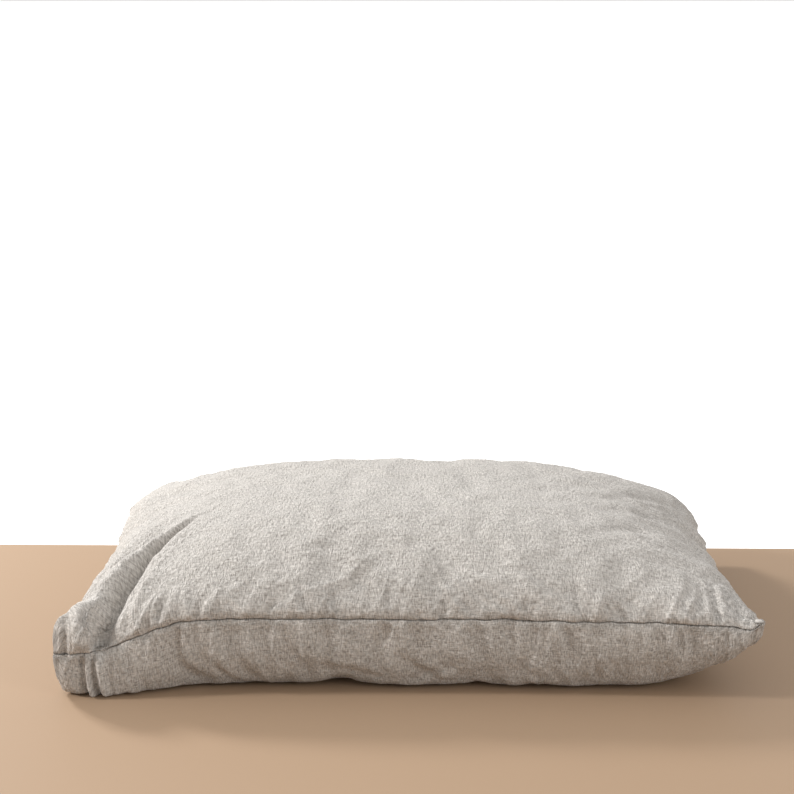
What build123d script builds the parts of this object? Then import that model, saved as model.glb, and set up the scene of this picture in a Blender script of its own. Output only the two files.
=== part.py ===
from build123d import *
import math
import os

# A floor cushion: a loose linen cover that closes with an envelope flap at its -X end, over a
# plain sewn insert stuffed with loose fibre. Every piece of cloth is one solid, as cut and sewn.
# +X runs along the cushion, +Y to its back, +Z up. The origin lies on the floor, under the
# middle of the cushion. Sizes are in millimetres.

# The cushion as it lies on the floor
LENGTH = 690.0  # from end to end along X
WIDTH = 500.0  # from corner to corner along Y
HEIGHT = 158.0  # from the floor to the crown
SEAM_HEIGHT = 78.0  # the seam line above the floor
WAIST = 10.0  # how far each long side pulls in between its corners
BELLY = 26.0  # how far the underside would bulge if the floor didn't flatten it

# How full the shape is between its middle and its edge
STATIONS = 9  # cross-sections along the length
CROWN_POWER = 3.0  # flatness of the crown
EDGE_POWER = 0.65  # steepness at the seam
SHOULDER = 0.75  # where each section's curve turns down, as a share of its half width
LIP = 1.0  # half the thickness of the very end

# The cover
COVER_CLOTH = 0.8
COVER_ALLOWANCE = 12.0  # cloth beyond the stitching, turned inside
HEM_LAYERS = 3  # cloth folded twice
MOUTH_HEM = 20.0  # width of the hem along the mouth
FLAP_LENGTH = 160.0  # how far the flap tucks in under the insert
FLAP_HEM = 10.0
THREAD = 0.4
OVERLOCK = 0.5  # thread wrapped over the raw edges
STITCH_CORNER = 30.0  # the stitching turns each corner in this radius
LAYER_GAP = 0.4  # air between layers that are not sewn together

# The blank label sewn into the back seam
LABEL_WIDTH = 30.0
LABEL_LENGTH = 40.0
LABEL_CLOTH = 0.3
LABEL_FROM_FLAP = 25.0

# The insert
INSERT_CLOTH = 0.5
INSERT_ALLOWANCE = 8.0
INSERT_THREAD = 0.3
INSERT_CLEARANCE = 1.5  # from the insert's edge to the cover's raw edges
INSERT_STITCH = 3.0  # from the insert's edge to its stitching
CLOSING_LENGTH = 150.0  # the gap that the fibre goes in through, sewn shut
CLOSING_STITCH = 5.5  # from the insert's edge to the stitching that shuts it
FILLING_CLEARANCE = 2.0

# Where each layer lies, measured inwards from the cover's outer face
HEM_DEPTH = HEM_LAYERS * COVER_CLOTH
FLAP_DEPTH = HEM_DEPTH + LAYER_GAP
FLAP_LAYER = COVER_CLOTH + LAYER_GAP
COVER_STITCH = FLAP_DEPTH + COVER_CLOTH + 6 * THREAD
INSERT_DEPTH = COVER_ALLOWANCE + OVERLOCK + INSERT_CLEARANCE
INSERT_LAYER = FLAP_LAYER + COVER_CLOTH + LAYER_GAP
LABEL_LAYER = COVER_CLOTH + LABEL_CLOTH

SEAM = Plane.XY.offset(SEAM_HEIGHT)
MOUTH_X = -LENGTH / 2
HEM_LINE = Plane.YZ.offset(MOUTH_X + MOUTH_HEM)
FLAP_EDGE = Plane.YZ.offset(MOUTH_X + FLAP_LENGTH)


def fullness(share):
    """How high the shape stands at a share of the way from its middle, 0, to its edge, 1."""
    return max(0.0, 1 - abs(share) ** CROWN_POWER) ** EDGE_POWER


def cushion_form(depth, layer):
    """The cushion's closed shape, moved in by depth at the seam and by layer above and below."""
    half_length = LENGTH / 2 - depth
    half_width = WIDTH / 2 - depth
    with BuildPart() as form:
        for station in range(STATIONS):
            along = -math.cos(math.pi * station / (STATIONS - 1))
            side = half_width - WAIST * (1 - along**2)
            above = (HEIGHT - SEAM_HEIGHT - LIP - layer) * fullness(along) + LIP
            below = (SEAM_HEIGHT + BELLY - LIP - layer) * fullness(along) + LIP
            with BuildSketch(Plane.YZ.offset(along * half_length)):
                with BuildLine():
                    for rise in (above, -below):
                        shoulder = SEAM_HEIGHT + rise * fullness(SHOULDER)
                        Spline(
                            (-side, SEAM_HEIGHT),
                            (-side * SHOULDER, shoulder),
                            (0, SEAM_HEIGHT + rise),
                            (side * SHOULDER, shoulder),
                            (side, SEAM_HEIGHT),
                        )
                make_face()
        loft()
        split(bisect_by=Plane.XY.offset(layer), keep=Keep.TOP)
    return form.part


def seam_outline(inset):
    """The outline of the seam line in plan, this far inside the cover's edge."""
    half_length = LENGTH / 2 - inset
    half_width = WIDTH / 2 - inset
    with BuildSketch() as outline:
        with BuildLine():
            back = ThreePointArc(
                (-half_length, half_width), (0, half_width - WAIST), (half_length, half_width)
            )
            front = ThreePointArc(
                (-half_length, -half_width), (0, WAIST - half_width), (half_length, -half_width)
            )
            Line(back @ 0, front @ 0)
            Line(back @ 1, front @ 1)
        make_face()
    return outline.sketch


def seam_band(outer, inner):
    """A flat band along the seam line, all the way round."""
    with BuildSketch() as band:
        add(seam_outline(outer))
        add(seam_outline(inner), mode=Mode.SUBTRACT)
    return band.sketch


def mouth_strip(inner):
    """The part of the seam band that lies across the mouth, between the two long seams."""
    with BuildSketch() as strip:
        with Locations((MOUTH_X, 0)):
            Rectangle(2 * inner, WIDTH - 2 * inner)
    return strip.sketch


def sewn_band(outer, inner):
    """A flat band along the long seams and the closed end, but not across the mouth."""
    with BuildSketch() as band:
        add(seam_band(outer, inner))
        add(mouth_strip(inner), mode=Mode.SUBTRACT)
    return band.sketch


def stitch_line(inset, thread):
    """A row of stitches that follows the seam line and turns its corners in a small arc."""
    with BuildSketch() as line:
        add(seam_outline(inset))
        fillet(line.vertices(), radius=STITCH_CORNER)
        offset(amount=-thread, mode=Mode.SUBTRACT)
    return line.sketch


def open_stitch_line(inset, thread):
    """The same row of stitches, left out across the mouth."""
    with BuildSketch() as line:
        add(stitch_line(inset, thread))
        with Locations((MOUTH_X, 0)):
            Rectangle(2 * (inset + STITCH_CORNER), WIDTH, mode=Mode.SUBTRACT)
    return line.sketch


def hollow(depth, layer, cloth, allowance):
    """The room inside a sewn casing: the inner shape less the two allowances, face to face."""
    with BuildPart() as room:
        add(cushion_form(depth + cloth, layer + cloth))
        with BuildSketch(SEAM):
            add(seam_band(depth, depth + allowance))
        extrude(amount=cloth, both=True, mode=Mode.SUBTRACT)
    return room.part


def layer_strip(depth, layer, thickness, start, length):
    """A strip of cloth or thread across the underside, from start to start + length along X."""
    with BuildPart() as strip:
        add(cushion_form(depth, layer))
        add(cushion_form(depth + thickness, layer + thickness), mode=Mode.SUBTRACT)
        split(bisect_by=Plane.YZ.offset(start), keep=Keep.TOP)
        split(bisect_by=Plane.YZ.offset(start + length), keep=Keep.BOTTOM)
        split(bisect_by=SEAM.offset(-COVER_CLOTH), keep=Keep.BOTTOM)
    return strip.part


# The cover's two panels, sewn face to face along the seam line

cover_shape = cushion_form(0, 0)
cover_room = hollow(0, 0, COVER_CLOTH, COVER_ALLOWANCE)

with BuildPart() as cover_top_panel:
    add(cover_shape)
    add(cover_room, mode=Mode.SUBTRACT)
    split(bisect_by=SEAM, keep=Keep.TOP)

# The bottom panel's free edge, at the mouth, is folded twice into a hem
with BuildPart() as mouth_room:
    add(cushion_form(HEM_DEPTH, COVER_CLOTH))
    with BuildSketch(SEAM):
        add(sewn_band(0, COVER_ALLOWANCE))
    extrude(amount=COVER_CLOTH, both=True, mode=Mode.SUBTRACT)
    split(bisect_by=HEM_LINE, keep=Keep.BOTTOM)

with BuildPart() as room_past_hem:
    add(cover_room)
    split(bisect_by=HEM_LINE, keep=Keep.TOP)

with BuildPart() as cover_bottom_panel:
    add(cover_shape)
    add(mouth_room.part, mode=Mode.SUBTRACT)
    add(room_past_hem.part, mode=Mode.SUBTRACT)
    split(bisect_by=SEAM, keep=Keep.BOTTOM)

# The envelope flap hangs from the top panel's end and tucks in between hem and insert
with BuildPart() as flap_room:
    add(cushion_form(FLAP_DEPTH + COVER_CLOTH, FLAP_LAYER + COVER_CLOTH))
    with BuildSketch(SEAM):
        add(mouth_strip(COVER_ALLOWANCE))
    extrude(amount=-COVER_CLOTH, mode=Mode.SUBTRACT)

with BuildPart() as envelope_flap:
    add(cushion_form(FLAP_DEPTH, FLAP_LAYER))
    add(flap_room.part, mode=Mode.SUBTRACT)
    split(bisect_by=SEAM, keep=Keep.BOTTOM)
    split(bisect_by=FLAP_EDGE, keep=Keep.BOTTOM)
    with BuildSketch(SEAM):
        add(sewn_band(0, COVER_ALLOWANCE))
    extrude(amount=-COVER_CLOTH, mode=Mode.SUBTRACT)

# The cover's threads: one above and one below the two allowances, locked at every stitch
with BuildPart() as cover_needle_thread:
    with BuildSketch(SEAM.offset(COVER_CLOTH)):
        add(open_stitch_line(COVER_STITCH, THREAD))
    extrude(amount=THREAD)

with BuildPart() as cover_bobbin_thread:
    with BuildSketch(SEAM.offset(-COVER_CLOTH)):
        add(open_stitch_line(COVER_STITCH, THREAD))
    extrude(amount=-THREAD)

with BuildPart() as cover_overlock_thread:
    with BuildSketch(SEAM):
        add(seam_band(COVER_ALLOWANCE, COVER_ALLOWANCE + OVERLOCK))
    extrude(amount=COVER_CLOTH, both=True)

with BuildPart() as flap_seam_thread:
    for side in (1, -1):
        with BuildSketch(SEAM.offset(side * COVER_CLOTH)):
            with Locations((MOUTH_X + COVER_STITCH + THREAD / 2, 0)):
                Rectangle(THREAD, WIDTH - 2 * (COVER_ALLOWANCE + STITCH_CORNER))
        extrude(amount=side * THREAD)

with BuildPart() as mouth_hem_thread:
    add(
        layer_strip(
            HEM_DEPTH, COVER_CLOTH, THREAD / 2, MOUTH_X + MOUTH_HEM - 2 * COVER_CLOTH, THREAD
        )
    )

with BuildPart() as flap_hem_thread:
    add(
        layer_strip(
            FLAP_DEPTH + COVER_CLOTH,
            FLAP_LAYER + COVER_CLOTH,
            THREAD / 2,
            MOUTH_X + FLAP_LENGTH - FLAP_HEM,
            THREAD,
        )
    )

# A blank care label hangs inside from the back seam
with BuildPart() as care_label:
    add(
        layer_strip(
            LABEL_LAYER, LABEL_LAYER, LABEL_CLOTH, MOUTH_X + FLAP_LENGTH + LABEL_FROM_FLAP, LABEL_WIDTH
        )
    )
    split(bisect_by=Plane.XZ, keep=Keep.BOTTOM)
    split(bisect_by=SEAM.offset(-LABEL_LENGTH), keep=Keep.TOP)

# The insert's casing, sewn shut all round
insert_shape = cushion_form(INSERT_DEPTH, INSERT_LAYER)
insert_room = hollow(INSERT_DEPTH, INSERT_LAYER, INSERT_CLOTH, INSERT_ALLOWANCE)

with BuildPart() as insert_top_panel:
    add(insert_shape)
    add(insert_room, mode=Mode.SUBTRACT)
    split(bisect_by=SEAM, keep=Keep.TOP)

with BuildPart() as insert_bottom_panel:
    add(insert_shape)
    add(insert_room, mode=Mode.SUBTRACT)
    split(bisect_by=SEAM, keep=Keep.BOTTOM)

with BuildPart() as insert_seam_thread:
    for side in (1, -1):
        with BuildSketch(SEAM.offset(side * INSERT_CLOTH)):
            add(stitch_line(INSERT_DEPTH + INSERT_STITCH, INSERT_THREAD))
        extrude(amount=side * INSERT_THREAD)

with BuildPart() as insert_closing_thread:
    for side in (1, -1):
        with BuildSketch(SEAM.offset(side * INSERT_CLOTH)):
            with Locations((LENGTH / 2 - INSERT_DEPTH - CLOSING_STITCH, 0)):
                Rectangle(INSERT_THREAD, CLOSING_LENGTH)
        extrude(amount=side * INSERT_THREAD)

# The fibre, as one soft mass that fills the casing up to its allowances
with BuildPart() as insert_filling:
    add(
        cushion_form(
            INSERT_DEPTH + INSERT_ALLOWANCE + FILLING_CLEARANCE,
            INSERT_LAYER + INSERT_CLOTH + LAYER_GAP,
        )
    )

pieces = {
    "cover_top_panel": cover_top_panel,
    "cover_bottom_panel": cover_bottom_panel,
    "envelope_flap": envelope_flap,
    "cover_needle_thread": cover_needle_thread,
    "cover_bobbin_thread": cover_bobbin_thread,
    "cover_overlock_thread": cover_overlock_thread,
    "flap_seam_thread": flap_seam_thread,
    "mouth_hem_thread": mouth_hem_thread,
    "flap_hem_thread": flap_hem_thread,
    "care_label": care_label,
    "insert_top_panel": insert_top_panel,
    "insert_bottom_panel": insert_bottom_panel,
    "insert_seam_thread": insert_seam_thread,
    "insert_closing_thread": insert_closing_thread,
    "insert_filling": insert_filling,
}

os.makedirs("parts", exist_ok=True)
for name, piece in pieces.items():
    piece.part.label = name
    export_step(piece.part, f"parts/{name}.step")
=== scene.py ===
# %% [markdown]
# # A washed-linen floor cushion
# A loose linen cover lies on the floor over a softer, slightly shorter insert. The cover has a top
# and a bottom panel, sewn together along one thin seam line, and an envelope mouth at its left end,
# where a flap tucks in under the insert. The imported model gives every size. This script makes the
# cloth, its creases and stitches, and the materials.

# %% Load the frame
import math

import bmesh
import bpy
import numpy as np
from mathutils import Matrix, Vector, noise
from mathutils.bvhtree import BVHTree


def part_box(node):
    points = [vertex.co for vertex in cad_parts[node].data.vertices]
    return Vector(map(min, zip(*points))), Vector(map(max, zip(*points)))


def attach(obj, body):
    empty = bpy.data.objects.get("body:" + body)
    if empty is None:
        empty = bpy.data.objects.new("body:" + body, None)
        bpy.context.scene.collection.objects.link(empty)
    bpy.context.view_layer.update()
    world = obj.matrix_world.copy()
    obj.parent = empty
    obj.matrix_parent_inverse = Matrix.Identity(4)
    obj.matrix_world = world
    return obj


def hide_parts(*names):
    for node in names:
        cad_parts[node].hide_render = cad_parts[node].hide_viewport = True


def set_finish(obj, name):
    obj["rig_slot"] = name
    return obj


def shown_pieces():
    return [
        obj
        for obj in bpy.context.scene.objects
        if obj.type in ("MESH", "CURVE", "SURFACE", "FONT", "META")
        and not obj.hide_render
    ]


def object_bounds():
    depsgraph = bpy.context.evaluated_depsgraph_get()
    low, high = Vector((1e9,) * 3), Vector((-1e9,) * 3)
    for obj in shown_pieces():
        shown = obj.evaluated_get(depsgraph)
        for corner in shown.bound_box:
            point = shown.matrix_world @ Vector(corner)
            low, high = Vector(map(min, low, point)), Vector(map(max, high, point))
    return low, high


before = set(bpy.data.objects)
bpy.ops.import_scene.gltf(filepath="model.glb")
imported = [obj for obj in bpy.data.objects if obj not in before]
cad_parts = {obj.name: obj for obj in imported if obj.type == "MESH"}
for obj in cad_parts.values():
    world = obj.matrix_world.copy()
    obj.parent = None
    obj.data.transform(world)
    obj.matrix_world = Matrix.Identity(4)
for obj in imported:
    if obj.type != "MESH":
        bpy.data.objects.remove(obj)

cad_box = [list(corner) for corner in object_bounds()]
print("the packed model's box, in metres:", cad_box)

# %% [markdown]
# ## The cushion's own sizes
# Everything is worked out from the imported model: the length and width from tip to tip, the crown
# above the floor, and the height of the seam where the two panels meet.

# %% Read the sizes
low, high = Vector(cad_box[0]), Vector(cad_box[1])
half_length = (high.x - low.x) / 2
half_width = (high.y - low.y) / 2
crown = high.z
seam_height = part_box("cover_top_panel")[0][2]
cloth_thickness = 0.0009
print("half length", half_length, "half width", half_width, "crown", crown, "seam", seam_height)

# %% [markdown]
# ## Small helpers
# The shapes below are mostly smooth numbers over the cloth: how full, how creased, how near the
# seam. These helpers keep that arithmetic short. The noise is Blender's own, so it is the same on
# every run.

# %% Helpers for smooth numbers
def smooth_step(start, end, value):
    """0 before start, 1 after end, and an even ramp between."""
    share = np.clip((value - start) / (end - start), 0, 1)
    return share * share * (3 - 2 * share)


def bump(value, centre, width):
    """A soft hill, 1 at its centre."""
    return np.exp(-(((value - centre) / width) ** 2))


def wander(*rows):
    """Smooth noise from about -1 to 1, one value for each column of the rows."""
    return np.array([noise.noise(point) for point in np.stack(rows, -1).tolist()])


def ridges(*rows):
    """Noise with narrow creases and broad soft backs, as crumpled cloth has."""
    return 1 - 2 * np.abs(wander(*rows)) ** 0.8


def fullness(share, power, edge):
    """How high the form stands at a share of the way from its middle to its edge."""
    return np.maximum(0, 1 - np.abs(share) ** power) ** edge


print("noise at a test point:", round(float(wander(*np.full((3, 1), 0.3))[0]), 4))

# %% [markdown]
# Meshes are read and written through numpy, because a panel has tens of thousands of points.

# %% Helpers for meshes
def points_of(mesh, what="co"):
    values = np.empty(len(mesh.vertices) * 3)
    mesh.vertices.foreach_get(what, values)
    return values.reshape(-1, 3)


def move_points(mesh, places):
    mesh.vertices.foreach_set("co", places.ravel().astype(np.float32))
    mesh.update()


def face_corners(mesh):
    """For each corner of each face: its point, and the panel that its face belongs to."""
    owners = np.empty(len(mesh.loops), dtype=int)
    mesh.loops.foreach_get("vertex_index", owners)
    panels = np.empty(len(mesh.polygons), dtype=int)
    mesh.polygons.foreach_get("material_index", panels)
    sizes = np.empty(len(mesh.polygons), dtype=int)
    mesh.polygons.foreach_get("loop_total", sizes)
    return owners, np.repeat(panels, sizes)


def link(name, mesh, smooth=True):
    piece = bpy.data.objects.new(name, mesh)
    bpy.context.scene.collection.objects.link(piece)
    if smooth:
        mesh.shade_smooth()
    return piece


def mesh_from(bm, name):
    mesh = bpy.data.meshes.new(name)
    bm.to_mesh(mesh)
    bm.free()
    return mesh


def applied(piece):
    """The piece's mesh with its modifiers carried out, left on the piece without them."""
    shaped = bpy.data.meshes.new_from_object(
        piece.evaluated_get(bpy.context.evaluated_depsgraph_get())
    )
    piece.modifiers.clear()
    old, piece.data = piece.data, shaped
    bpy.data.meshes.remove(old)
    return shaped


# %% [markdown]
# ## Cut the cover
# The real cover is two rectangles of linen sewn round their edges. Here each rectangle is a grid,
# and the two share the points of the seam line. Each point remembers where it lies on the flat
# cloth in two ways: shares from -1 to 1, which the shaping uses, and a UV map in metres, from which
# the creases are laid out. One mesh for both panels lets the simulation pull on the seam from both
# sides.

# %% The two rectangles
cloth_step = 0.0078
columns = round(2 * half_length / cloth_step)
rows_across = round(2 * half_width / cloth_step)
TOP, BOTTOM = 0, 1
edge_tolerance = 1e-5


def sewn_rectangles():
    bm = bmesh.new()
    for panel in (TOP, BOTTOM):
        made = bmesh.ops.create_grid(bm, x_segments=columns, y_segments=rows_across, size=1)
        faces = {face for vert in made["verts"] for face in vert.link_faces}
        for face in faces:
            face.material_index = panel
        for vert in made["verts"]:
            inside = max(abs(vert.co.x), abs(vert.co.y)) < 1 - edge_tolerance
            apart = 0.1 if panel == TOP else -0.1
            vert.co.z = apart if inside else 0
        if panel == BOTTOM:
            bmesh.ops.reverse_faces(bm, faces=list(faces))
    cloth_map = bm.loops.layers.uv.new("Cloth")
    for face in bm.faces:
        for loop in face.loops:
            spot = loop.vert.co
            loop[cloth_map].uv = (spot.x * half_length, spot.y * half_width)
    bmesh.ops.remove_doubles(bm, verts=bm.verts, dist=edge_tolerance)
    return mesh_from(bm, "cover_cloth")


cover_mesh = sewn_rectangles()
flat = points_of(cover_mesh)
print("points in the cover's cloth:", len(flat))

# %% [markdown]
# ## The filled shape
# A soft insert fills the middle and stops short of the edges. So the crown is broad, the sides
# drop steeply to the seam and pull in between the corners, and the underside is flat where it
# rests. The corners have little filling in them and droop. The left end, where the mouth is, is
# slack: its underside lies on the floor almost to the end.

# %% Place each point on the filled shape
end_pull = 0.022
side_pull = 0.009
crown_rise = 0.002
laid_flat = 0.030
front_left_droop = 0.031


def filled_shape(along, across, upper):
    """Where the cloth lies over the insert, for shares along and across it."""
    u = 0.45 * along + 0.55 * np.sin(along * math.pi / 2)
    v = 0.45 * across + 0.55 * np.sin(across * math.pi / 2)
    x = u * (half_length - end_pull * (1 - v**2))
    y = v * (half_width - side_pull * (1 - u**2))
    over = fullness(u, 3.0, 0.70) * fullness(v, 3.5, 0.70)
    left = u < 0
    under = fullness(u, np.where(left, 12, 4), np.where(left, 0.30, 0.45))
    under = under * fullness(v, np.where(left, 4 + 5 * smooth_step(0.55, 0.95, -u), 4), 0.42)
    z = np.where(
        upper,
        seam_height + (crown - seam_height - crown_rise) * over,
        seam_height - (seam_height + laid_flat) * under,
    )
    return np.stack([x, y, z], -1)


def corner_droop(along, across, seam_distance):
    """How far each corner sinks below the seam's height."""
    near_front = bump(across, -1, 0.55)
    near_left = 1 - smooth_step(-0.287, -0.160, along * half_length)
    droop = front_left_droop * near_left * near_front
    for corner_x, corner_y, depth, reach in (
        (-1, 1, 0.020, 0.090),
        (1, 1, 0.034, 0.110),
        (1, -1, 0.004, 0.060),
        (1, -1, -0.009, 0.016),
    ):
        distance = np.hypot((along - corner_x) * half_length, (across - corner_y) * half_width)
        droop += depth * bump(distance, 0, reach)
    return droop * (0.35 + 0.65 * bump(seam_distance, 0, 0.030))


def rest_on_floor(z, softness=0.006):
    """Nothing goes below the floor: the underside eases onto it and lies flat."""
    return np.where(z < softness, softness * np.exp(np.minimum(z / softness - 1, 0)), z)


along, across = flat[:, 0], flat[:, 1]
upper = flat[:, 2] >= 0
seam_distance = np.minimum(
    (1 - np.abs(along)) * half_length, (1 - np.abs(across)) * half_width
)
filled = filled_shape(along, across, upper)
filled[:, 2] -= corner_droop(along, across, seam_distance)
front_rise = 0.004 * bump(across, -1, 0.5) * fullness(along, 2, 1)
filled[:, 2] += front_rise * bump(seam_distance, 0, 0.05)
corner_tab = bump(along, -0.95, 0.085) * bump(across, -0.93, 0.13)
corner_tab = corner_tab * smooth_step(0, 0.008, seam_distance)
tab_height = 0.024
filled[:, 2] += tab_height * np.where(upper, 1, 0) * corner_tab
filled[:, 2] = rest_on_floor(filled[:, 2])
print("filled shape from", filled.min(0).round(3), "to", filled.max(0).round(3))

# %% [markdown]
# ## Let the linen settle
# Linen doesn't stretch, and the cover is cut a little larger than the insert, so the spare cloth
# has to buckle. The simulation starts on the filled shape, lets the cloth grow by 1% in the middle
# and much more near the seam, and ties every point softly to the insert below it. The cloth finds
# its own dents and soft folds in 24 frames. It is much quicker than dropping a cover over a pillow
# and letting the two collide, and it keeps the cushion's size.

# %% Simulate the cover
middle_hold = 0.20
seam_hold = 0.35
first_unevenness = 0.0015
furthest_move = 0.012


def settle(mesh, frames=24):
    piece = link("cover_cloth", mesh)
    held = piece.vertex_groups.new(name="held")
    spare = piece.vertex_groups.new(name="spare")
    near_seam = bump(seam_distance, 0, 0.055)
    slack_end = 1 - 0.6 * bump(along, -1, 0.22)
    for index in range(len(flat)):
        hold = middle_hold * (1 - 0.6 * near_seam[index]) * slack_end[index]
        if seam_distance[index] < edge_tolerance:
            hold += seam_hold
        held.add([index], float(hold), "REPLACE")
        spare.add([index], float(near_seam[index]), "REPLACE")
    unevenness = points_of(mesh, "normal") * first_unevenness * wander(*(filled * 35).T)[:, None]
    move_points(mesh, filled + unevenness)
    cloth = piece.modifiers.new("Cloth", "CLOTH")
    settings = cloth.settings
    settings.quality = 6
    settings.mass = 0.15
    settings.air_damping = 1
    settings.tension_stiffness = settings.compression_stiffness = 15
    settings.shear_stiffness = 5
    settings.bending_stiffness = 0.05
    settings.vertex_group_mass = "held"
    settings.pin_stiffness = 0.3
    settings.vertex_group_shrink = "spare"
    settings.shrink_min = -0.010
    settings.shrink_max = -0.090
    settings.use_pressure = True
    settings.uniform_pressure_force = 0.5
    settings.effector_weights.gravity = 0
    cloth.collision_settings.use_collision = False
    cloth.collision_settings.use_self_collision = False
    cloth.point_cache.frame_start = 1
    cloth.point_cache.frame_end = frames
    bpy.context.scene.frame_end = frames
    for frame_number in range(1, frames + 1):
        bpy.context.scene.frame_set(frame_number)
    settled = points_of(applied(piece))
    moved = settled - filled
    distance = np.linalg.norm(moved, axis=1)
    kept_share = np.minimum(1, furthest_move / np.maximum(distance, 1e-9))
    settled = filled + moved * kept_share[:, None]
    print("the cloth moved by up to", round(float(distance.max()) * 1000, 1), "mm")
    move_points(piece.data, settled)
    return piece


cover = settle(cover_mesh)

# %% [markdown]
# ## Lay out the weave
# The first UV map is flat, so on the steep sides, where the cloth runs down, it would draw the
# yarns out long. A second map is laid out from lengths measured along the cloth, row by row and
# column by column from the middle. The seam's edges are creased in the same step, so that the
# cushion keeps its knife edge when the mesh is subdivided.

# %% Crease the seam and lay out the weave
def keep_seam_sharp(mesh, strength=0.75):
    bm = bmesh.new()
    bm.from_mesh(mesh)
    crease = bm.edges.layers.float.new("crease_edge")
    for edge in bm.edges:
        panels = {face.material_index for face in edge.link_faces}
        edge[crease] = strength if len(panels) == 2 else 0
    bm.to_mesh(mesh)
    bm.free()


def lay_weave(mesh):
    """A second UV map, in metres, whose yarns keep their spacing where the cloth runs steeply."""
    places = points_of(mesh)
    column = np.rint((along + 1) / 2 * columns).astype(int)
    row = np.rint((across + 1) / 2 * rows_across).astype(int)
    owners, panels = face_corners(mesh)
    spots = np.zeros((len(owners), 2))
    for panel in (TOP, BOTTOM):
        grid = np.zeros((rows_across + 1, columns + 1, 3))
        used = owners[panels == panel]
        grid[row[used], column[used]] = places[used]
        for axis in (0, 1):
            runs = np.linalg.norm(np.diff(grid, axis=1 - axis), axis=2)
            lengths = np.insert(np.cumsum(runs, axis=1 - axis), 0, 0, axis=1 - axis)
            middle = np.take(lengths, [lengths.shape[1 - axis] // 2], axis=1 - axis)
            spots[panels == panel, axis] = (lengths - middle)[row[used], column[used]]
    weave = mesh.uv_layers.new(name="Weave")
    weave.data.foreach_set("uv", spots.ravel())
    return float(np.abs(spots).max())


keep_seam_sharp(cover.data)
weave_reach = lay_weave(cover.data)
print("the weave reaches", round(weave_reach, 3), "m from the middle")

# %% [markdown]
# ## Make the cloth finer
# Small creases need small faces. A subdivision surface splits each face into sixteen and rounds
# the folds that the simulation left. The result is applied, because the next steps move single
# points.

# %% Subdivide the settled cover
def finer(piece, levels):
    subdivision = piece.modifiers.new("Subdivision", "SUBSURF")
    subdivision.levels = subdivision.render_levels = levels
    return applied(piece)


def flat_places(mesh):
    """Where each point lies on the flat cloth, in metres."""
    corners = np.empty(len(mesh.loops) * 2)
    mesh.uv_layers["Cloth"].data.foreach_get("uv", corners)
    owners, _ = face_corners(mesh)
    places = np.zeros((len(mesh.vertices), 2))
    places[owners] = corners.reshape(-1, 2)
    return places[:, 0], places[:, 1]


def lies_on(mesh, panel):
    """True for each point of one panel."""
    owners, panels = face_corners(mesh)
    found = np.zeros(len(mesh.vertices), dtype=bool)
    found[owners[panels == panel]] = True
    return found


settled_cloth = cover.data.copy()
fine_mesh = finer(cover, 2)
flat_x, flat_y = flat_places(fine_mesh)
on_top = lies_on(fine_mesh, TOP)
to_end = half_length - np.abs(flat_x)
to_side = half_width - np.abs(flat_y)
to_seam = np.minimum(to_end, to_side)
on_seam = 1e-6
print("points after subdivision:", len(flat_x))

# %% [markdown]
# ## Creases
# Some creases are too fine or too particular for the simulation. Sewing gathers the cloth, so
# puckers run away from the seam on both sides. The cover is longer than its insert, so a deep fold
# runs back from the left front corner, and two small folds curl under it. Single creases cross the
# front, short sharp ones stand along the long seams, and washed linen is crinkled all over. Each is
# worked out as a height over the cloth, and all are added along its normals in one go.

# %% Puckers along the seam
close_height = 0.0027
middling_height = np.where(on_top, 0.0056, 0.0034)
broad_height = np.where(on_top, 0.0058, 0.0036)


def puckers():
    long_side = to_side < to_end
    seam_run = np.where(long_side, flat_x, flat_y)
    seam_side = np.where(long_side, np.sign(flat_y), np.sign(flat_x))
    which_seam = np.where(long_side, 2.3, 7.9) * seam_side + np.where(on_top, 0, 13.7)
    lean = 5 * wander(seam_run / 0.11, which_seam, np.zeros_like(seam_run))
    reach = 0.020 + 0.016 * wander(seam_run / 0.05, which_seam, np.ones_like(seam_run))
    close = ridges(seam_run / 0.0105 + lean * to_seam / 0.05, to_seam / 0.055, which_seam)
    spacing = np.where(on_top, 0.025, 0.018)
    middling = ridges(seam_run / spacing - lean * to_seam / 0.08, to_seam / 0.09, which_seam + 3)
    broad = wander(seam_run / 0.042, to_seam / 0.14, which_seam + 5)
    slack_end = 1 - 0.45 * bump(to_end, 0, 0.045)
    height = close_height * close * np.exp(-to_seam / reach)
    height += middling_height * middling * np.exp(-to_seam / (2.0 * reach))
    height += broad_height * broad * np.exp(-to_seam / 0.070)
    return height * slack_end * (0.35 + 0.65 * smooth_step(0, 0.005, to_seam))


pucker_height = puckers()
print("puckers stand", round(float(np.ptp(pucker_height)) * 1000, 1), "mm from lowest to highest")

# %% [markdown]
# A fold follows a short path over the cloth. Each point needs its distance from that path, with a
# sign that says which side it is on, and how far along the path it is.

# %% Folds that follow a path
def beside(path, x, y):
    """The signed distance from a path of points, and the share of the way along it."""
    corners = np.array(path)
    best = np.full(len(x), np.inf)
    signed = np.zeros(len(x))
    share = np.zeros(len(x))
    runs = np.linalg.norm(np.diff(corners, axis=0), axis=1)
    before = np.concatenate([[0], np.cumsum(runs)])
    for index, run in enumerate(runs):
        start, step = corners[index], (corners[index + 1] - corners[index]) / run
        reach_x, reach_y = x - start[0], y - start[1]
        ahead = np.clip(reach_x * step[0] + reach_y * step[1], 0, run)
        off_x, off_y = reach_x - ahead * step[0], reach_y - ahead * step[1]
        distance = np.hypot(off_x, off_y)
        nearer = distance < best
        best = np.where(nearer, distance, best)
        side = np.sign(off_x * step[1] - off_y * step[0])
        signed = np.where(nearer, distance * side, signed)
        share = np.where(nearer, (before[index] + ahead) / before[-1], share)
    return signed, share


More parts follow.
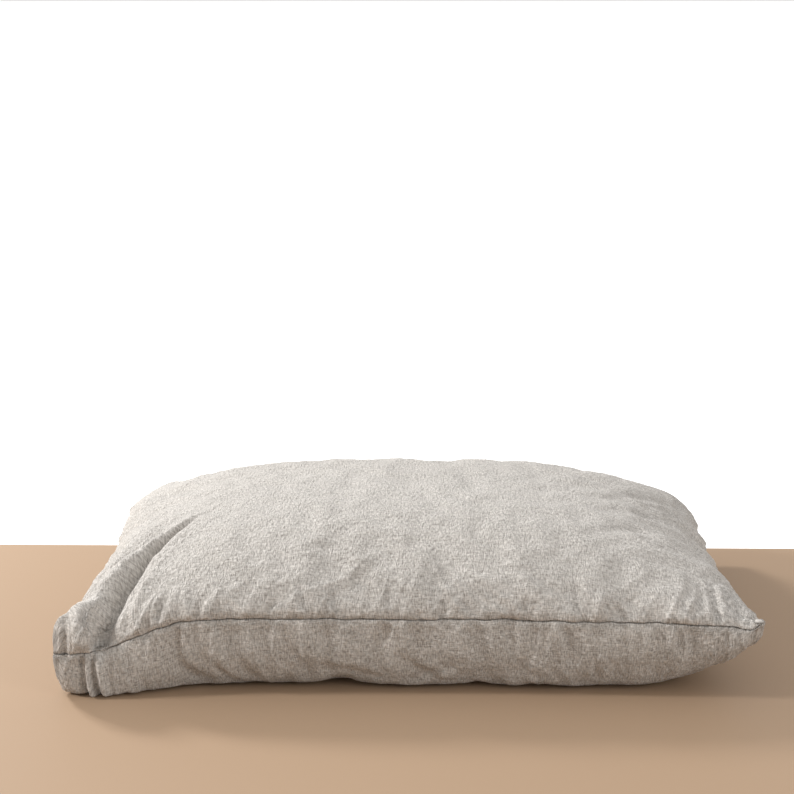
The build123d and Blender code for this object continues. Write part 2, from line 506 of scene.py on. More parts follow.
def rounded(path, rounds=3):
    """A path with its corners cut again and again, until it is smooth."""
    points = np.array(path)
    for _ in range(rounds):
        cut = [points[0]]
        for start, end in zip(points[:-1], points[1:]):
            cut += [0.75 * start + 0.25 * end, 0.25 * start + 0.75 * end]
        points = np.array(cut + [points[-1]])
    return points


corner_fold = rounded([
    (-0.303, -0.252), (-0.294, -0.222), (-0.282, -0.182), (-0.266, -0.142),
    (-0.247, -0.108), (-0.228, -0.078), (-0.203, -0.050), (-0.176, -0.030),
])
under_folds = [
    [(-0.303, -0.252), (-0.297, -0.236), (-0.284, -0.220), (-0.262, -0.207), (-0.235, -0.198)],
    [(-0.313, -0.252), (-0.309, -0.236), (-0.299, -0.219), (-0.283, -0.205), (-0.262, -0.196)],
]


def fold_heights(places):
    """The deep fold on top at the left front corner, and the two small ones under it."""
    x, y = places[:, 0], places[:, 1]
    across_fold, run = beside(corner_fold, x, y)
    fade = (1 - smooth_step(0.55, 1.0, run)) * np.where(on_top, 1, 0)
    width = 0.0135 - 0.0095 * smooth_step(0.10, 0.75, run)
    depth = 0.0195 - 0.0158 * smooth_step(0.10, 0.80, run)
    off = across_fold / width
    valley = -np.where(off > 0, np.exp(-(np.maximum(off, 0) ** 1.6)), bump(off, 0, 0.52))
    bank = 0.42 * bump(off, -1.40, 0.75) + 0.12 * bump(off, 2.2, 1.0)
    at_seam = 0.35 + 0.65 * smooth_step(0, 0.006, to_seam)
    height = depth * (valley + bank) * fade * at_seam
    for shift, lift in ((-0.026, 0.0022), (-0.036, 0.0018), (0.030, 0.0016)):
        ripple = bump(across_fold, shift, 0.0035) - bump(across_fold, shift - 0.006, 0.004)
        height += lift * ripple * fade
    for path in under_folds:
        across_fold, run = beside(rounded(path), x, flat_y)
        fade = (1 - smooth_step(0.7, 1.0, run)) * np.where(on_top, 0, 1)
        ridge = 0.0046 * bump(across_fold, 0, 0.0026)
        groove = 0.0066 * bump(across_fold, -0.0062, 0.0034)
        height += (ridge - groove) * fade
    return height


fold_height = fold_heights(points_of(fine_mesh))
print("the corner fold is", round(float(-fold_height.min()) * 1000, 1), "mm deep")

# %% [markdown]
# Some single creases give the front its character: long soft dents that run up from the seam, and
# slanting ones that cross below it. Each is a straight stroke over the cloth, deepest in its
# middle. The lists give where a stroke starts, where it ends, its depth and its width.

# %% Single creases
top_creases = [
    ((-0.072, -0.244), (-0.060, -0.150), 0.0022, 0.009),
    ((-0.040, -0.246), (-0.048, -0.190), 0.0018, 0.008),
    ((-0.170, -0.248), (-0.150, -0.205), 0.0022, 0.007),
    ((-0.205, -0.248), (-0.196, -0.222), 0.0018, 0.004),
    ((-0.140, -0.248), (-0.122, -0.232), 0.0014, 0.003),
    ((0.035, -0.246), (0.030, -0.196), 0.0020, 0.008),
    ((0.098, -0.246), (0.105, -0.186), 0.0020, 0.009),
    ((0.170, -0.246), (0.163, -0.205), 0.0018, 0.007),
    ((0.226, -0.246), (0.218, -0.218), 0.0022, 0.005),
    ((0.262, -0.244), (0.270, -0.205), 0.0016, 0.006),
    ((0.306, -0.246), (0.296, -0.214), 0.0020, 0.005),
    ((0.180, -0.120), (0.300, -0.040), 0.0016, 0.009),
    ((0.190, -0.060), (0.305, 0.020), 0.0018, 0.009),
    ((0.210, 0.000), (0.312, 0.090), 0.0018, 0.008),
    ((-0.330, 0.120), (-0.230, 0.040), 0.0035, 0.012),
    ((-0.325, 0.200), (-0.210, 0.150), 0.0030, 0.012),
]
bottom_creases = [
    ((-0.230, -0.248), (-0.200, -0.205), 0.0030, 0.006),
    ((-0.200, -0.246), (-0.165, -0.200), 0.0026, 0.005),
    ((-0.170, -0.240), (-0.140, -0.200), 0.0016, 0.005),
    ((-0.110, -0.248), (-0.092, -0.200), 0.0026, 0.007),
    ((-0.085, -0.230), (-0.020, -0.214), 0.0020, 0.006),
    ((-0.020, -0.246), (0.045, -0.204), 0.0028, 0.006),
    ((0.060, -0.238), (-0.010, -0.206), 0.0024, 0.006),
    ((0.095, -0.246), (0.140, -0.208), 0.0018, 0.006),
    ((0.180, -0.246), (0.190, -0.210), 0.0018, 0.004),
    ((0.262, -0.244), (0.250, -0.214), 0.0018, 0.005),
]


def crease_heights():
    height = np.zeros_like(flat_x)
    for strokes, on_panel in ((top_creases, on_top), (bottom_creases, ~on_top)):
        for start, end, depth, width in strokes:
            off, run = beside([start, end], points_of(fine_mesh)[:, 0], flat_y)
            middle = np.sin(np.clip(run, 0.02, 0.98) * math.pi) ** 0.7
            stroke = 0.55 * bump(off, 1.5 * width, width) - bump(off, 0, width)
            height += depth * stroke * middle * np.where(on_panel, 1, 0)
    return height


crease_height = crease_heights()
print("single creases:", len(top_creases) + len(bottom_creases))

# %% [markdown]
# Close to the long seams lie many short, sharp creases, where the needle caught a little too much
# cloth. A seeded random draw scatters them. Each starts at the seam and runs up or down the steep
# side, so its stroke is laid out on that side as seen from in front or behind: along the seam, and
# above or below it.

# %% Short creases at the long seams
short_creases = 54


def seam_level(x, on_side):
    """The seam's height at each place along one long side."""
    seam_points = points_of(fine_mesh)[(to_side < on_seam) & on_side]
    order = np.argsort(seam_points[:, 0])
    return np.interp(x, seam_points[order, 0], seam_points[order, 2])


def short_crease_heights():
    draw = np.random.RandomState(11)
    places = points_of(fine_mesh)
    height = np.zeros(len(places))
    for on_side in (flat_y < 0, flat_y > 0):
        rise = np.abs(places[:, 2] - seam_level(places[:, 0], on_side))
        for on_panel in (on_top, ~on_top):
            spots = np.flatnonzero(on_side & on_panel & (to_side < 0.09) & (rise < 0.075))
            for _ in range(short_creases):
                x = draw.uniform(-0.30, 0.33)
                length = draw.uniform(0.010, 0.040)
                lean = draw.uniform(-0.6, 0.6) * length
                width = draw.uniform(0.0014, 0.0030)
                depth = draw.uniform(0.0008, 0.0028)
                stroke = [(x, 0.001), (x + lean, length)]
                off, run = beside(stroke, places[spots, 0], rise[spots])
                fade = (1 - smooth_step(0.35, 1.0, run)) * smooth_step(0, 0.12, run + 0.06)
                ridge = np.exp(-np.abs(off) / width)
                groove = np.exp(-np.abs(off - 2.4 * width) / (1.4 * width))
                height[spots] += depth * fade * (ridge - 0.7 * groove)
    return height


short_height = short_crease_heights()
print("short creases:", 4 * short_creases)

# %% [markdown]
# ## Washed-linen crinkle
# Linen that was washed and tumbled keeps a fine crinkle. Its larger part is made in the mesh, as
# creased noise that is stretched and turned a little from place to place. The part that is finer
# than the mesh is left to the material.

# %% Crinkle all over
large_height = 0.00110
small_height = 0.00075
fine_height = 0.00036


def crinkle():
    sheet_number = np.where(on_top, 0, 40)
    drift_x = flat_x + 0.006 * wander(flat_x / 0.05, flat_y / 0.05, sheet_number + 1)
    drift_y = flat_y + 0.006 * wander(flat_x / 0.05, flat_y / 0.05, sheet_number + 2)
    large = ridges(drift_x / 0.022, drift_y / 0.034, sheet_number + 3)
    small = ridges(drift_x / 0.0085, drift_y / 0.0110, sheet_number + 4)
    patch = 0.65 + 0.55 * wander(flat_x / 0.09, flat_y / 0.09, sheet_number + 5)
    fine = wander(drift_x / 0.0052, drift_y / 0.0064, sheet_number + 6)
    near_seam = bump(to_seam, 0, 0.045)
    soft = (0.62 + 0.48 * near_seam) * (large_height * large + fine_height * fine)
    return patch * (soft + (0.45 + 1.25 * near_seam) * small_height * small)


crinkle_height = crinkle()
print("crinkle:", round(float(crinkle_height.std()) * 1000, 2), "mm rms")

# %% [markdown]
# All the heights go on together. The seam line wavers a little, and the underside lifts off the
# floor at one place in front, because the cloth there is stiff with its seam. Then the underside
# is eased back onto the floor, and the cushion is drawn to the length, width and crown of the
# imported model, because the spare cloth made it a little larger. The creases may rise a hair above
# that crown.

# %% Put the creases on and fit the box
floor_sink = 0.001
seam_waver = 0.0016
floor_gap = 0.005


def fit_to_box(places):
    centre = (places[:, :2].max(0) + places[:, :2].min(0)) / 2
    size = np.ptp(places[:, :2], axis=0) / 2
    places[:, :2] = (places[:, :2] - centre) / size * (half_length, half_width)
    places[:, 2] = rest_on_floor(places[:, 2] - floor_sink)
    raised = places[:, 2] > seam_height
    stretch = (crown + crown_rise - seam_height) / (places[:, 2].max() - seam_height)
    places[raised, 2] = seam_height + (places[raised, 2] - seam_height) * stretch
    return places


crease_total = pucker_height + fold_height + crease_height + short_height + crinkle_height
raised_places = points_of(fine_mesh) + points_of(fine_mesh, "normal") * crease_total[:, None]
seam_wave = wander(flat_x / 0.013, flat_y / 0.013, np.full_like(flat_x, 60))
raised_places[:, 2] += seam_waver * seam_wave * np.exp(-to_seam / 0.003)
lifted = bump(raised_places[:, 0], -0.072, 0.030) * bump(raised_places[:, 1], -0.205, 0.022)
raised_places[:, 2] += floor_gap * lifted * np.where(on_top, 0, 1)
cover_places = fit_to_box(raised_places)
move_points(fine_mesh, cover_places)
print("creased cover from", cover_places.min(0).round(4), "to", cover_places.max(0).round(4))

# %% [markdown]
# ## Part the two panels at the seam
# On the real cover each panel turns inside at the seam, and a narrow allowance of its cloth lies
# there against the other's. The panels are parted here in the same way: a panel's open edge is
# extruded inwards in a few steps, round a tight fold first and then flat. It leaves the fine dark
# groove that a sewn seam shows. Cutting the mesh at the seam and leaving the edges bare would be
# simpler, but would show the raw edge of a surface. The insert's casing is made by the same
# functions.

# %% Turn a panel's edge inside
lip_gap = 0.0010
cover_allowance = [(0.0007, 0.00070), (0.0024, 0.00030), (0.0050, 0.00012), (0.0110, 0.00012)]


def ways_in(bm, mesh):
    """For each point on the seam line, the level way towards the middle of the cushion."""
    cloth_x, cloth_y = flat_places(mesh)
    end_x, side_y = np.abs(cloth_x).max() - on_seam, np.abs(cloth_y).max() - on_seam
    ways = {}
    for vert in bm.verts:
        x, y = float(cloth_x[vert.index]), float(cloth_y[vert.index])
        way = Vector((0, 0, 0))
        if abs(x) > end_x:
            way.x = -math.copysign(1, x)
        if abs(y) > side_y:
            way.y = -math.copysign(1, y)
        if way.length > 0:
            ways[vert] = way.normalized()
    return ways


def only_panel(bm, panel):
    others = [face for face in bm.faces if face.material_index != panel]
    bmesh.ops.delete(bm, geom=others, context="FACES")
    for face in bm.faces:
        face.material_index = 0


def turned_in(bm, ways, away, gap, steps):
    """Extrude the open edge inwards, step by step."""
    seam_line = {vert: vert.co.copy() for vert in ways}
    rim = [edge for edge in bm.edges if edge.is_boundary]
    for vert in ways:
        vert.co.z += away * gap
    for inwards, apart in steps:
        made = bmesh.ops.extrude_edge_only(bm, edges=rim)["geom"]
        rim = [item for item in made if isinstance(item, bmesh.types.BMEdge)]
        ring = {item for item in made if isinstance(item, bmesh.types.BMVert)}
        for vert in ring:
            other_ends = [edge.other_vert(vert) for edge in vert.link_edges]
            before = next(end for end in other_ends if end not in ring)
            ways[vert], seam_line[vert] = ways[before], seam_line[before]
            vert.co = seam_line[vert] + ways[vert] * inwards + Vector((0, 0, away * apart))


def thickened(piece, thickness):
    wall = piece.modifiers.new("Solidify", "SOLIDIFY")
    wall.thickness = thickness
    wall.offset = -1
    return piece


def parted_panel(name, mesh, panel, gap, steps, thickness):
    bm = bmesh.new()
    bm.from_mesh(mesh)
    ways = ways_in(bm, mesh)
    only_panel(bm, panel)
    turned_in(bm, ways, 1 if panel == TOP else -1, gap, steps)
    return thickened(link(name, mesh_from(bm, name)), thickness)


def finish_piece(piece, node, slot_name):
    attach(piece, "root")
    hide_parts(node)
    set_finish(piece, slot_name)


def top_and_bottom(kind, mesh, gap, steps, thickness, slot_name):
    """The two panels of the cover, or of the insert's casing."""
    for side, panel in (("top", TOP), ("bottom", BOTTOM)):
        piece = parted_panel(kind + "_" + side, mesh, panel, gap, steps, thickness)
        finish_piece(piece, kind + "_" + side + "_panel", slot_name)
        print(piece.name, "has", len(piece.data.polygons), "faces")


top_and_bottom("cover", fine_mesh, lip_gap, cover_allowance, cloth_thickness, "washed_linen")

# %% [markdown]
# ## Stitches
# A sewing machine's thread lies on the cloth for one stitch, dips into it, and comes up again. So
# each row of stitches is one thin tube that follows a route and bobs at every stitch. A poly curve
# with a bevel makes such a tube in one go, and it is turned into a mesh at the end. Routes along
# the seam start from the seam line of the cover's own mesh.

# %% Rows of stitches
stitch_pitch = 0.003
points_per_stitch = 4
corner_points = 6


def seam_route(front=True, right=True, back=True, left=True):
    """The seam line in order, less its corners, and the level way inwards at each point."""
    places = points_of(fine_mesh)
    on_long, on_short = to_side < on_seam, to_end < on_seam
    route = []
    for wanted, on_line, order, way in (
        (front, on_long & (flat_y < 0), flat_x, (0, 1, 0)),
        (right, on_short & (flat_x > 0), flat_y, (-1, 0, 0)),
        (back, on_long & (flat_y > 0), -flat_x, (0, -1, 0)),
        (left, on_short & (flat_x < 0), -flat_y, (1, 0, 0)),
    ):
        if wanted:
            found = np.flatnonzero(on_line)
            found = found[np.argsort(order[found])]
            inside = found[corner_points:-corner_points]
            route += [(Vector(places[index]), Vector(way)) for index in inside]
    return route


def evenly(points, pitch):
    """Points at an even pitch along a route."""
    corners = np.array(points, dtype=float)
    runs = np.concatenate([[0], np.cumsum(np.linalg.norm(np.diff(corners, axis=0), axis=1))])
    steps = np.arange(0, runs[-1], pitch)
    return np.stack([np.interp(steps, runs, corners[:, axis]) for axis in range(3)], -1)


def thread_tube(name, rows, radius):
    """A mesh tube of thread along each row of points."""
    curve = bpy.data.curves.new(name, "CURVE")
    curve.dimensions = "3D"
    curve.bevel_depth = radius
    curve.bevel_resolution = 1
    curve.use_fill_caps = True
    for row in rows:
        spline = curve.splines.new("POLY")
        spline.points.add(len(row) - 1)
        for point, place in zip(spline.points, row):
            point.co = (*place, 1)
    guide = bpy.data.objects.new(name + "_route", curve)
    bpy.context.scene.collection.objects.link(guide)
    bpy.context.view_layer.update()
    mesh = bpy.data.meshes.new_from_object(
        guide.evaluated_get(bpy.context.evaluated_depsgraph_get())
    )
    mesh.name = name
    bpy.data.objects.remove(guide)
    return link(name, mesh)


def stitched(points, up, dip):
    """The route of a thread: along the cloth, and down into it at every fourth point."""
    row = evenly(points, stitch_pitch / points_per_stitch)
    share, own = np.linspace(0, 1, len(row)), np.linspace(0, 1, len(points))
    up = np.broadcast_to(np.array(up, dtype=float), (len(points), 3))
    up = np.stack([np.interp(share, own, up[:, axis]) for axis in range(3)], -1)
    down = np.arange(len(row)) % points_per_stitch == points_per_stitch - 1
    return row + up * np.where(down, -dip, 0)[:, None]


def row_beside(route, inset, height, side, dip):
    """A row of stitches at an inset from the seam, above or below its allowances."""
    on_cloth = [place + way * inset + Vector((0, 0, side * height)) for place, way in route]
    return stitched(on_cloth, (0, 0, side), dip)


stitch_inset = 0.006
stitch_dip = 0.0006
thread_radius = 0.0002
thread_height = cover_allowance[-1][1] + cloth_thickness + thread_radius
open_seam = seam_route(left=False)
for name, side in (("cover_needle_stitches", 1), ("cover_bobbin_stitches", -1)):
    row = row_beside(open_seam, stitch_inset, thread_height, side, stitch_dip)
    made = thread_tube(name, [row], thread_radius)
    finish_piece(made, name.replace("_stitches", "_thread"), "linen_thread")
print("seam stitches:", round(len(row) / points_per_stitch))

# %% [markdown]
# The raw edges of the allowances are overlocked: a thread wraps round both of them, over and over.

# %% Overlock the raw edges
overlock_inset = 0.0114
overlock_reach = 0.0042
overlock_row = []
edge_route = evenly([place + way * overlock_inset for place, way in seam_route()], stitch_pitch)
for place in edge_route:
    outward = Vector((0, 0, 0))
    if abs(place[0]) / half_length > abs(place[1]) / half_width:
        outward.x = math.copysign(overlock_reach, place[0])
    else:
        outward.y = math.copysign(overlock_reach, place[1])
    centre = Vector(place)
    for step, height in ((outward, 1), (Vector(), 1), (Vector(), -1), (outward, -1)):
        overlock_row.append(centre + step + Vector((0, 0, height * thread_height)))
overlock = thread_tube("cover_overlock_stitches", [overlock_row], thread_radius)
finish_piece(overlock, "cover_overlock_thread", "linen_thread")
print("overlock loops:", len(edge_route))

# %% [markdown]
# ## Cloth that lies inside
# The envelope flap and the care label both lie against the inside of the bottom panel. So each is
# cut from a copy of that panel's mesh and moved inwards along its normals, with room for the
# layers between. A copy follows every crease of the panel and can't poke through it, which a new
# grid would have to be fitted to do.

# %% Cut a lining from the bottom panel
layer_gap = 0.0004


def lining(name, keep_face, depth, thickness):
    """A piece of cloth that lies inside the bottom panel, where keep_face says so."""
    bm = bmesh.new()
    bm.from_mesh(fine_mesh)
    normals = {vert: vert.normal.copy() for vert in bm.verts}
    lost = [
        face
        for face in bm.faces
        if face.material_index != BOTTOM or not keep_face(*spot_of(face))
    ]
    bmesh.ops.delete(bm, geom=lost, context="FACES")
    for vert in bm.verts:
        vert.co -= normals[vert] * depth
    for face in bm.faces:
        face.material_index = 0
    return thickened(link(name, mesh_from(bm, name)), thickness)


def spot_of(face):
    """The flat place of a face's first corner, and how far below the seam it lies."""
    spot = face.verts[0].index
    return flat_x[spot], flat_y[spot], to_side[spot], seam_height - cover_places[spot, 2]


flap_inset = 0.0125
flap_start = 0.001
flap_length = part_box("envelope_flap")[1][0] + half_length
flap_layer = cloth_thickness * 2 + layer_gap
flap = lining(
    "envelope_flap_cloth",
    lambda x, y, side, drop: flap_inset < side and flap_start < x + half_length < flap_length,
    flap_layer,
    cloth_thickness,
)
finish_piece(flap, "envelope_flap", "washed_linen")

label_thickness = 0.0003
label_start, label_reach = 0.0005, 0.06
label_low, label_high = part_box("care_label")


def on_label(x, y, side, drop):
    """The label hangs from the back seam, between its own two sides."""
    between = label_low[0] < x < label_high[0] and y > 0
    below = label_start < side < label_reach and drop < label_high[2] - label_low[2]
    return between and below


label = lining("blank_label", on_label, cloth_thickness + layer_gap, label_thickness)
finish_piece(label, "care_label", "label_tape")

# %% [markdown]
# Three more threads belong to the mouth. One sews the flap to the top panel's end, one holds the
# hem of the mouth, and one the hem of the flap's free edge. The hems' rows run across the cushion
# over the cloth, so their routes are read from the bottom panel's mesh.

# %% Stitch the mouth and the flap
def row_across(x_from_end, lift, edge):
    """A row of the bottom panel's points across the cushion, and the way out of the cloth there."""
    places, normals = points_of(fine_mesh), points_of(fine_mesh, "normal")
    column = np.abs(flat_x + half_length - x_from_end)
    nearest = column[~on_top].min() + 1e-6
    found = np.flatnonzero((column <= nearest) & ~on_top & (to_side > edge))
    found = found[np.argsort(flat_y[found])]
    return places[found] + normals[found] * lift, normals[found]


left_end = seam_route(False, False, False, True)
flap_seam_inset = 0.009
flap_rows = [
    row_beside(left_end, flap_seam_inset, thread_height, side, stitch_dip) for side in (1, -1)
]
flap_seam = thread_tube("flap_seam_stitches", flap_rows, thread_radius)
finish_piece(flap_seam, "flap_seam_thread", "linen_thread")

hem_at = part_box("mouth_hem_thread")[0][0] + half_length
hem_edge = 0.008
hem_thread_radius = thread_radius * 1.4
hem_row = stitched(*row_across(hem_at, thread_radius / 2, hem_edge), stitch_dip)
hem = thread_tube("mouth_hem_stitches", [hem_row], hem_thread_radius)
finish_piece(hem, "mouth_hem_thread", "linen_thread")

flap_hem_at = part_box("flap_hem_thread")[0][0] + half_length
flap_hem_edge = 0.020
flap_hem_dip = -0.0004
flap_depth = -(flap_layer + cloth_thickness + thread_radius)
flap_hem_row = stitched(*row_across(flap_hem_at, flap_depth, flap_hem_edge), flap_hem_dip)
flap_hem = thread_tube("flap_hem_stitches", [flap_hem_row], thread_radius)
finish_piece(flap_hem, "flap_hem_thread", "linen_thread")
print("hem stitches:", round(len(hem_row) / points_per_stitch))

# %% [markdown]
# ## The insert
# Inside the cover lies a plain cotton casing full of loose fibre, a little shorter and narrower
# than the cover. It starts as a copy of the settled cloth, drawn in all round, and further at the
# slack left end. It is lowered under the deep corner fold. Where a crease of the cover still comes
# close, a nearest-point search pushes the insert's point away, so that no layer cuts through
# another. The filling is made in the same way inside the casing.

# %% Draw a shape in, clear of its cover
empty_end = 0.036
fold_room = 0.014


def drawn_in(name, outer_mesh, inset, layer, clearance, rounds=3):
    """A copy of the settled cloth that lies inside outer_mesh with a clearance."""
    mesh = settled_cloth.copy()
    mesh.name = name
    places = fit_to_box(points_of(mesh))
    reach = np.abs(flat[:, :2]).max(1)
    short_end = np.where(places[:, 0] < 0, empty_end, 0)
    places[:, 0] *= 1 - (inset + short_end) / half_length
    places[:, 1] *= 1 - inset / half_width
    above = places[:, 2] > seam_height
    lowered = 1 - layer / (crown - seam_height)
    places[:, 2] = np.where(
        above,
        seam_height + (places[:, 2] - seam_height) * lowered,
        np.maximum(places[:, 2], layer),
    )
    beside_fold, run = beside(corner_fold, places[:, 0], places[:, 1])
    room = fold_room * bump(beside_fold, 0, 0.035) * (1 - smooth_step(0.8, 1, run))
    places[:, 2] -= np.where(above & (reach < 0.97), room, 0)
    on_edge = reach > 1 - edge_tolerance
    bm = bmesh.new()
    bm.from_mesh(outer_mesh)
    tree = BVHTree.FromBMesh(bm)
    bm.free()
    for _ in range(rounds):
        for index, place in enumerate(places):
            if on_edge[index]:
                continue
            spot, normal, _, distance = tree.find_nearest(Vector(place))
            outside = (Vector(place) - spot).dot(normal) > 0
            if outside or distance < clearance:
                places[index] = spot - normal * clearance
    move_points(mesh, places)
    return mesh


extra_inset = 0.004
casing_thickness = 0.0006
casing_lip = 0.0004
casing_allowance = [(0.0004, 0.00030), (0.0012, 0.00010), (0.0070, 0.00010)]
insert_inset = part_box("insert_top_panel")[0][0] + half_length
casing_cloth = drawn_in(
    "casing_cloth", fine_mesh, insert_inset + extra_inset, layer=0.007, clearance=0.0075
)
top_and_bottom(
    "insert", casing_cloth, casing_lip, casing_allowance, casing_thickness, "cotton_casing"
)

filling_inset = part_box("insert_filling")[0][0] + half_length
fibre_mesh = drawn_in(
    "filling", casing_cloth, filling_inset + extra_inset, layer=0.010, clearance=0.0030
)
filling = link("filling", fibre_mesh)
finish_piece(filling, "insert_filling", "loose_fibre")
print("casing and filling made from", len(casing_cloth.vertices), "points each")

# %% [markdown]
# The casing is sewn all round, and once more along the gap at its right end, through which the
# fibre was filled in. Both rows run at a fixed distance inside the cover's own seam line.

# %% Stitch the casing
casing_thread_radius = 0.00015
casing_thread_height = casing_allowance[-1][1] + casing_thickness + casing_thread_radius
casing_dip = 0.0004
casing_seam_inset = insert_inset + 0.003
closing_inset = insert_inset + 0.0055
half_gap = 0.075
right_end = seam_route(False, True, False, False)
filling_gap = [(place, way) for place, way in right_end if abs(place.y) < half_gap]
casing_rows = [
    row_beside(seam_route(), casing_seam_inset, casing_thread_height, side, casing_dip)
    for side in (1, -1)
]
closing_rows = [
    row_beside(filling_gap, closing_inset, casing_thread_height, side, casing_dip)
    for side in (1, -1)
]
casing_seam = thread_tube("insert_seam_stitches", casing_rows, casing_thread_radius)
casing_closing = thread_tube("insert_closing_stitches", closing_rows, casing_thread_radius)
finish_piece(casing_seam, "insert_seam_thread", "casing_thread")
finish_piece(casing_closing, "insert_closing_thread", "casing_thread")
bpy.data.objects.remove(cover)
print("casing stitches:", round(len(casing_rows[0]) / points_per_stitch))

# %% [markdown]
# ## Linen
# Washed linen is a greyed flax colour with a heathered look, because its yarns differ in shade and
# thickness. Two stretched noises, one along each direction of the weave, give the yarns, and a
# slower noise lets the shade drift. The same yarns and a finer crumple drive a bump, below the
# size that the mesh can hold. The pattern follows the weave's own UV map, in metres, so it turns
# and folds with the panel.

# %% Helpers for materials
def new_material(name, colour, roughness):
    material = bpy.data.materials.new(name)
    material.use_nodes = True
    shader = material.node_tree.nodes["Principled BSDF"]
    shader.inputs["Base Color"].default_value = (*colour, 1)
    shader.inputs["Roughness"].default_value = roughness
    return material, material.node_tree, shader


def stretched_noise(tree, weave_uv, stretch, detail):
    """Noise on the cloth, with this many features in a metre along each direction."""
    place = tree.nodes.new("ShaderNodeMapping")
    place.inputs["Scale"].default_value = (*stretch, 1)
    pattern = tree.nodes.new("ShaderNodeTexNoise")
    pattern.noise_type = "FBM"
    pattern.inputs["Scale"].default_value = 1
    pattern.inputs["Detail"].default_value = detail
    tree.links.new(weave_uv, place.inputs["Vector"])
    tree.links.new(place.outputs["Vector"], pattern.inputs["Vector"])
    return pattern.outputs["Fac"]


def arithmetic(tree, kind, first, second):
    made = tree.nodes.new("ShaderNodeMath")
    made.operation = kind
    for socket, value in zip(made.inputs, (first, second)):
        if isinstance(value, (int, float)):
            socket.default_value = value
        else:
            tree.links.new(value, socket)
    return made.outputs[0]


def spread_out(tree, value, low, high):
    """The part of a noise between low and high, spread over 0 to 1."""
    ramp = tree.nodes.new("ShaderNodeMapRange")
    ramp.inputs["From Min"].default_value = low
    ramp.inputs["From Max"].default_value = high
    tree.links.new(value, ramp.inputs["Value"])
    return ramp.outputs["Result"]


# %% The linen
linen_dark = (0.198, 0.180, 0.158)
linen_light = (0.655, 0.618, 0.576)
linen, tree, shader = new_material("washed_linen", linen_light, 0.92)
shader.inputs["Sheen Weight"].default_value = 0.22
shader.inputs["Sheen Roughness"].default_value = 0.5
shader.inputs["Specular IOR Level"].default_value = 0.2
weave_map = tree.nodes.new("ShaderNodeUVMap")
weave_map.uv_map = "Weave"
weave_uv = weave_map.outputs["UV"]
weft = stretched_noise(tree, weave_uv, stretch=(170, 800), detail=3)
warp = stretched_noise(tree, weave_uv, stretch=(800, 200), detail=3)
slub = stretched_noise(tree, weave_uv, stretch=(45, 380), detail=1)
drift = stretched_noise(tree, weave_uv, stretch=(9, 11), detail=3)
crumple = stretched_noise(tree, weave_uv, stretch=(310, 120), detail=5)
yarn_share, slub_share, drift_share = 0.36, 0.14, 0.15
yarns = arithmetic(
    tree, "ADD", spread_out(tree, weft, 0.27, 0.73), spread_out(tree, warp, 0.35, 0.65)
)
yarns = arithmetic(tree, "MULTIPLY", yarns, yarn_share)
slubs = arithmetic(tree, "MULTIPLY", spread_out(tree, slub, 0.35, 0.75), slub_share)
shade = arithmetic(tree, "ADD", yarns, slubs)
shade = arithmetic(tree, "ADD", shade, arithmetic(tree, "MULTIPLY", drift, drift_share))
colour = tree.nodes.new("ShaderNodeValToRGB")
colour.color_ramp.elements[0].position = 0.12
colour.color_ramp.elements[0].color = (*linen_dark, 1)
colour.color_ramp.elements[1].position = 0.80
colour.color_ramp.elements[1].color = (*linen_light, 1)
tree.links.new(shade, colour.inputs["Fac"])
tree.links.new(colour.outputs["Color"], shader.inputs["Base Color"])
crumple_share = 2.6
relief_depth = 0.0014
relief = arithmetic(tree, "ADD", yarns, arithmetic(tree, "MULTIPLY", crumple, crumple_share))
bump_node = tree.nodes.new("ShaderNodeBump")
bump_node.inputs["Strength"].default_value = 1.0
bump_node.inputs["Distance"].default_value = relief_depth
tree.links.new(relief, bump_node.inputs["Height"])
tree.links.new(bump_node.outputs["Normal"], shader.inputs["Normal"])
print("linen nodes:", len(tree.nodes))

# %% [markdown]
# ## Thread, label, casing and fibre
# The other materials are plain, because little or nothing of them shows. The sewing thread is a
# shade darker than the cloth, so that the stitches read.

# %% The plain materials
thread_finish = new_material("linen_thread", (0.30, 0.25, 0.20), 0.8)[0]
label_finish = new_material("label_tape", (0.80, 0.78, 0.74), 0.6)[0]
casing_finish = new_material("cotton_casing", (0.78, 0.76, 0.72), 0.9)[0]
casing_thread_finish = new_material("casing_thread", (0.75, 0.73, 0.70), 0.8)[0]
fibre_finish = new_material("loose_fibre", (0.85, 0.85, 0.84), 1.0)[0]
finishes = {
    "washed_linen": linen,
    "linen_thread": thread_finish,
    "label_tape": label_finish,
    "cotton_casing": casing_finish,
    "casing_thread": casing_thread_finish,
    "loose_fibre": fibre_finish,
}
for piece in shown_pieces():
    piece.data.materials.clear()
    piece.data.materials.append(finishes[piece["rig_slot"]])

# %% [markdown]
# ## Floor, light and camera
# The cushion lies on a plain floor of pale wood, and everything behind it is white, as where a
# white wall begins. One flat floor in two tones does for both, and it reaches so far that no
# horizon shows.

# %% The floor
floor_reach = 1500
wall_gap = 0.045
wall_glow = 0.3
wood_colour = (0.36, 0.25, 0.165)
wall_colour = (0.93, 0.93, 0.93)
bm = bmesh.new()
bmesh.ops.create_grid(bm, x_segments=1, y_segments=1, size=floor_reach)
floor = link("floor", mesh_from(bm, "floor"), smooth=False)
floor_finish, tree, shader = new_material("pale_floor", wood_colour, 0.55)
place = tree.nodes.new("ShaderNodeTexCoord")
parts = tree.nodes.new("ShaderNodeSeparateXYZ")
tree.links.new(place.outputs["Object"], parts.inputs["Vector"])
behind = arithmetic(tree, "GREATER_THAN", parts.outputs["Y"], half_width + wall_gap)
mix = tree.nodes.new("ShaderNodeMix")
mix.data_type = "RGBA"
mix.inputs["A"].default_value = (*wood_colour, 1)
mix.inputs["B"].default_value = (*wall_colour, 1)
tree.links.new(behind, mix.inputs["Factor"])
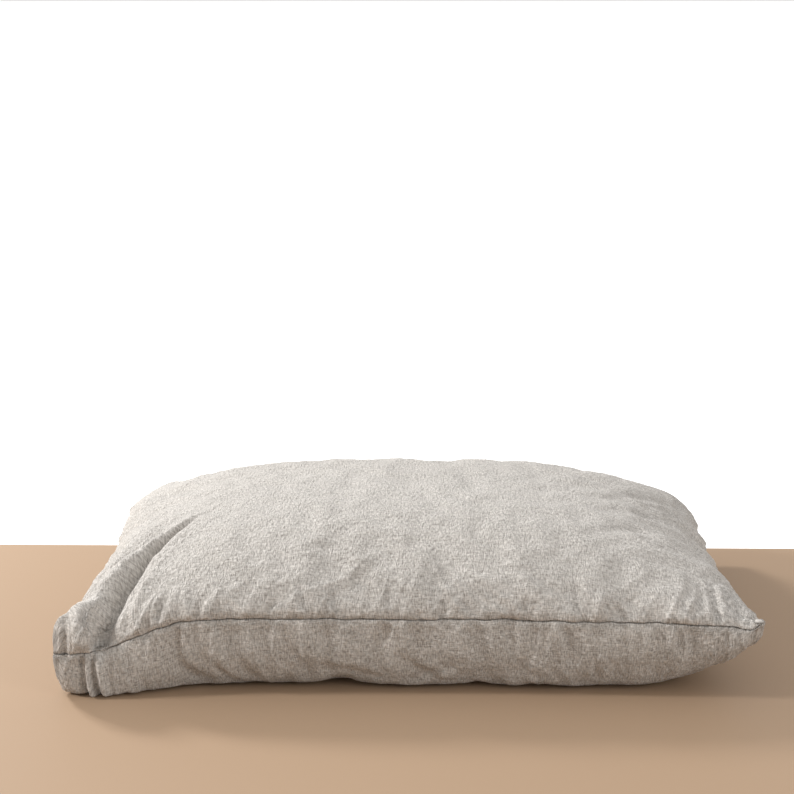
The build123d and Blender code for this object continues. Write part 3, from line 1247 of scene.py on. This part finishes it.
tree.links.new(mix.outputs["Result"], shader.inputs["Base Color"])
shader.inputs["Specular IOR Level"].default_value = 0.15
shader.inputs["Emission Color"].default_value = (1, 1, 1, 1)
glow = arithmetic(tree, "MULTIPLY", behind, wall_glow)
tree.links.new(glow, shader.inputs["Emission Strength"])
floor.data.materials.append(floor_finish)
print("the floor turns white", wall_gap, "m behind the cushion")

# %% [markdown]
# A pale sky gives most of the light. A window behind on the left stands low, so that it grazes the
# top and brings out its crinkle. A second one on the left lights the slack end, and a broad, dim
# lamp in front on the right does what a far wall would do. The Standard view keeps the linen's
# colours as they were set.

# %% The light
world = bpy.data.worlds.new("soft_sky")
bpy.context.scene.world = world
world.use_nodes = True
world.node_tree.nodes["Background"].inputs["Color"].default_value = (1, 0.99, 0.98, 1)
world.node_tree.nodes["Background"].inputs["Strength"].default_value = 0.80
bpy.context.scene.view_settings.view_transform = "Standard"


def window(name, place, target, size, energy):
    glow = bpy.data.lights.new(name, "AREA")
    glow.size = size
    glow.energy = energy
    lamp = bpy.data.objects.new(name, glow)
    bpy.context.scene.collection.objects.link(lamp)
    lamp.location = place
    lamp.rotation_euler = (Vector(target) - Vector(place)).to_track_quat("-Z", "Y").to_euler()


window("window", place=(-1.9, 1.5, 1.5), target=(0, 0, 0.1), size=0.5, energy=70)
window("side_window", place=(-3.1, -0.7, 1.7), target=(0, 0, 0.05), size=0.4, energy=80)
window("far_wall", place=(2.4, -2.2, 1.3), target=(0, 0, 0.05), size=1.2, energy=27)
print("lamps:", len(bpy.data.lights))

# %% [markdown]
# A long lens looks slightly down on the front of the cushion, from about two metres away.

# %% The camera
lens = bpy.data.cameras.new("camera")
lens.lens = 86.1
lens.sensor_width = 36
lens.clip_end = 3000
camera = bpy.data.objects.new("camera", lens)
bpy.context.scene.collection.objects.link(camera)
camera.location = (0.024, -1.985, 0.667)
camera.rotation_euler = (math.radians(78.2), 0, math.radians(1.1))
bpy.context.scene.camera = camera
print("camera looks down by", round(90 - math.degrees(camera.rotation_euler.x), 1), "degrees")
